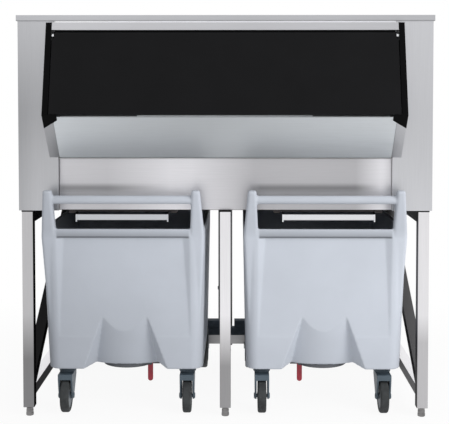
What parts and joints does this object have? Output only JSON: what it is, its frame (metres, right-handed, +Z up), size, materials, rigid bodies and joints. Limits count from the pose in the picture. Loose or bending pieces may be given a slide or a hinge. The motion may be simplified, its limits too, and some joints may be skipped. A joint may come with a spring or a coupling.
{
  "type": "ice storage bin",
  "caption": "Insulated steel ice storage bin with a hinged sloping door, on a tube stand, with wheeled plastic ice carts docked under its sliding discharge gates.",
  "frame": {"origin": "middle of the whole object's footprint, on the floor", "axes": "+X to the right seen from the front, +Y to the back, +Z up"},
  "size_m": [1.524, 1.11, 1.48],
  "materials": {
    "stainless": "brushed",
    "stand_steel": "brushed",
    "bright_steel": "polished",
    "zinc_steel": "zinc plated",
    "foot_steel": "satin",
    "black_plastic": "satin",
    "black_rubber": "matte",
    "white_plastic": "satin",
    "foam": "matte",
    "grey_plastic": "satin",
    "cart_plastic": "matte",
    "castor_nylon": "satin",
    "grey_tyre": "matte",
    "hub_plastic": "satin",
    "lever_red": "gloss"
  },
  "bodies": {
    "frame": {"right_side_panel": "stainless", "left_side_panel": "stainless", "back_panel": "stainless", "lower_front_panel": "stainless", "bottom_pan": "stainless", "back_screws": "bright_steel", "bin_liner": "white_plastic", "left_hopper": "white_plastic", "right_hopper": "white_plastic", "insulation_foam": "foam", "top_frame": "stainless", "right_hood_cheek": "stainless", "left_hood_cheek": "stainless", "hood_sill": "stainless", "hood_top_rail": "stainless", "right_end_cap": "black_plastic", "left_end_cap": "black_plastic", "door_hinge_pins": "bright_steel", "gate_runners": "stainless", "drain_pipe": "grey_plastic", "left_frame": "stand_steel", "middle_frame": "stand_steel", "right_frame": "stand_steel", "cross_rails": "stand_steel", "cart_stop": "black_rubber", "leg_pads": "black_plastic", "levelling_feet": "foot_steel"},
    "access_door": {"access_door": "black_plastic", "door_liner": "white_plastic"},
    "left_gate": {"left_gate_plate": "stainless", "left_gate_handle": "bright_steel"},
    "right_gate": {"right_gate_plate": "stainless", "right_gate_handle": "bright_steel"},
    "left_cart": {"left_cart_body": "cart_plastic", "left_cart_drain_valve": "grey_plastic", "left_cart_rear_axle": "zinc_steel", "left_cart_castor_plates": "zinc_steel"},
    "left_cart_left_castor": {"left_cart_left_castor_fork": "castor_nylon"},
    "left_cart_left_castor_wheel": {"left_cart_left_castor_tyre": "grey_tyre", "left_cart_left_castor_hub": "hub_plastic"},
    "left_cart_left_rear_wheel": {"left_cart_left_rear_wheel": "grey_tyre"},
    "left_cart_right_castor": {"left_cart_right_castor_fork": "castor_nylon"},
    "left_cart_right_castor_wheel": {"left_cart_right_castor_tyre": "grey_tyre", "left_cart_right_castor_hub": "hub_plastic"},
    "left_cart_right_rear_wheel": {"left_cart_right_rear_wheel": "grey_tyre"},
    "left_cart_valve_lever": {"left_cart_valve_lever": "lever_red"},
    "right_cart": {"right_cart_body": "cart_plastic", "right_cart_drain_valve": "grey_plastic", "right_cart_rear_axle": "zinc_steel", "right_cart_castor_plates": "zinc_steel"},
    "right_cart_left_castor": {"right_cart_left_castor_fork": "castor_nylon"},
    "right_cart_left_castor_wheel": {"right_cart_left_castor_tyre": "grey_tyre", "right_cart_left_castor_hub": "hub_plastic"},
    "right_cart_left_rear_wheel": {"right_cart_left_rear_wheel": "grey_tyre"},
    "right_cart_right_castor": {"right_cart_right_castor_fork": "castor_nylon"},
    "right_cart_right_castor_wheel": {"right_cart_right_castor_tyre": "grey_tyre", "right_cart_right_castor_hub": "hub_plastic"},
    "right_cart_right_rear_wheel": {"right_cart_right_rear_wheel": "grey_tyre"},
    "right_cart_valve_lever": {"right_cart_valve_lever": "lever_red"}
  },
  "joints": [
    {"name": "door_hinge", "type": "hinge", "parent": "frame", "child": "access_door", "pos_m": [0, -0.45751, 1.40263], "axis": [-1, 0, 0], "range_deg": [0, 90]},
    {"name": "left_gate_slide", "type": "slide", "parent": "frame", "child": "left_gate", "axis": [0, -1, 0], "range_m": [0, 0.32]},
    {"name": "right_gate_slide", "type": "slide", "parent": "frame", "child": "right_gate", "axis": [0, -1, 0], "range_m": [0, 0.32]},
    {"name": "left_cart_roll", "type": "slide", "parent": "frame", "child": "left_cart", "axis": [0, -1, 0], "range_m": [0, 0.9]},
    {"name": "left_cart_left_castor_swivel", "type": "hinge", "parent": "left_cart", "child": "left_cart_left_castor", "pos_m": [-0.5975, -0.305, 0.15], "axis": [0, 0, 1], "continuous": true},
    {"name": "left_cart_left_castor_spin", "type": "hinge", "parent": "left_cart_left_castor", "child": "left_cart_left_castor_wheel", "pos_m": [-0.5975, -0.343, 0.0625], "axis": [1, 0, 0], "continuous": true},
    {"name": "left_cart_left_rear_spin", "type": "hinge", "parent": "left_cart", "child": "left_cart_left_rear_wheel", "pos_m": [-0.6355, 0.275, 0.095], "axis": [1, 0, 0], "continuous": true},
    {"name": "left_cart_right_castor_swivel", "type": "hinge", "parent": "left_cart", "child": "left_cart_right_castor", "pos_m": [-0.1435, -0.305, 0.15], "axis": [0, 0, 1], "continuous": true},
    {"name": "left_cart_right_castor_spin", "type": "hinge", "parent": "left_cart_right_castor", "child": "left_cart_right_castor_wheel", "pos_m": [-0.1435, -0.343, 0.0625], "axis": [1, 0, 0], "continuous": true},
    {"name": "left_cart_right_rear_spin", "type": "hinge", "parent": "left_cart", "child": "left_cart_right_rear_wheel", "pos_m": [-0.1055, 0.275, 0.095], "axis": [1, 0, 0], "continuous": true},
    {"name": "left_cart_valve_turn", "type": "hinge", "parent": "left_cart", "child": "left_cart_valve_lever", "pos_m": [-0.2905, -0.215, 0.158], "axis": [0, 1, 0], "range_deg": [0, 90]},
    {"name": "right_cart_roll", "type": "slide", "parent": "frame", "child": "right_cart", "axis": [0, -1, 0], "range_m": [0, 0.9]},
    {"name": "right_cart_left_castor_swivel", "type": "hinge", "parent": "right_cart", "child": "right_cart_left_castor", "pos_m": [0.1365, -0.305, 0.15], "axis": [0, 0, 1], "continuous": true},
    {"name": "right_cart_left_castor_spin", "type": "hinge", "parent": "right_cart_left_castor", "child": "right_cart_left_castor_wheel", "pos_m": [0.1365, -0.343, 0.0625], "axis": [1, 0, 0], "continuous": true},
    {"name": "right_cart_left_rear_spin", "type": "hinge", "parent": "right_cart", "child": "right_cart_left_rear_wheel", "pos_m": [0.0985, 0.275, 0.095], "axis": [1, 0, 0], "continuous": true},
    {"name": "right_cart_right_castor_swivel", "type": "hinge", "parent": "right_cart", "child": "right_cart_right_castor", "pos_m": [0.5905, -0.305, 0.15], "axis": [0, 0, 1], "continuous": true},
    {"name": "right_cart_right_castor_spin", "type": "hinge", "parent": "right_cart_right_castor", "child": "right_cart_right_castor_wheel", "pos_m": [0.5905, -0.343, 0.0625], "axis": [1, 0, 0], "continuous": true},
    {"name": "right_cart_right_rear_spin", "type": "hinge", "parent": "right_cart", "child": "right_cart_right_rear_wheel", "pos_m": [0.6285, 0.275, 0.095], "axis": [1, 0, 0], "continuous": true},
    {"name": "right_cart_valve_turn", "type": "hinge", "parent": "right_cart", "child": "right_cart_valve_lever", "pos_m": [0.2835, -0.215, 0.158], "axis": [0, -1, 0], "range_deg": [0, 90]}
  ]
}
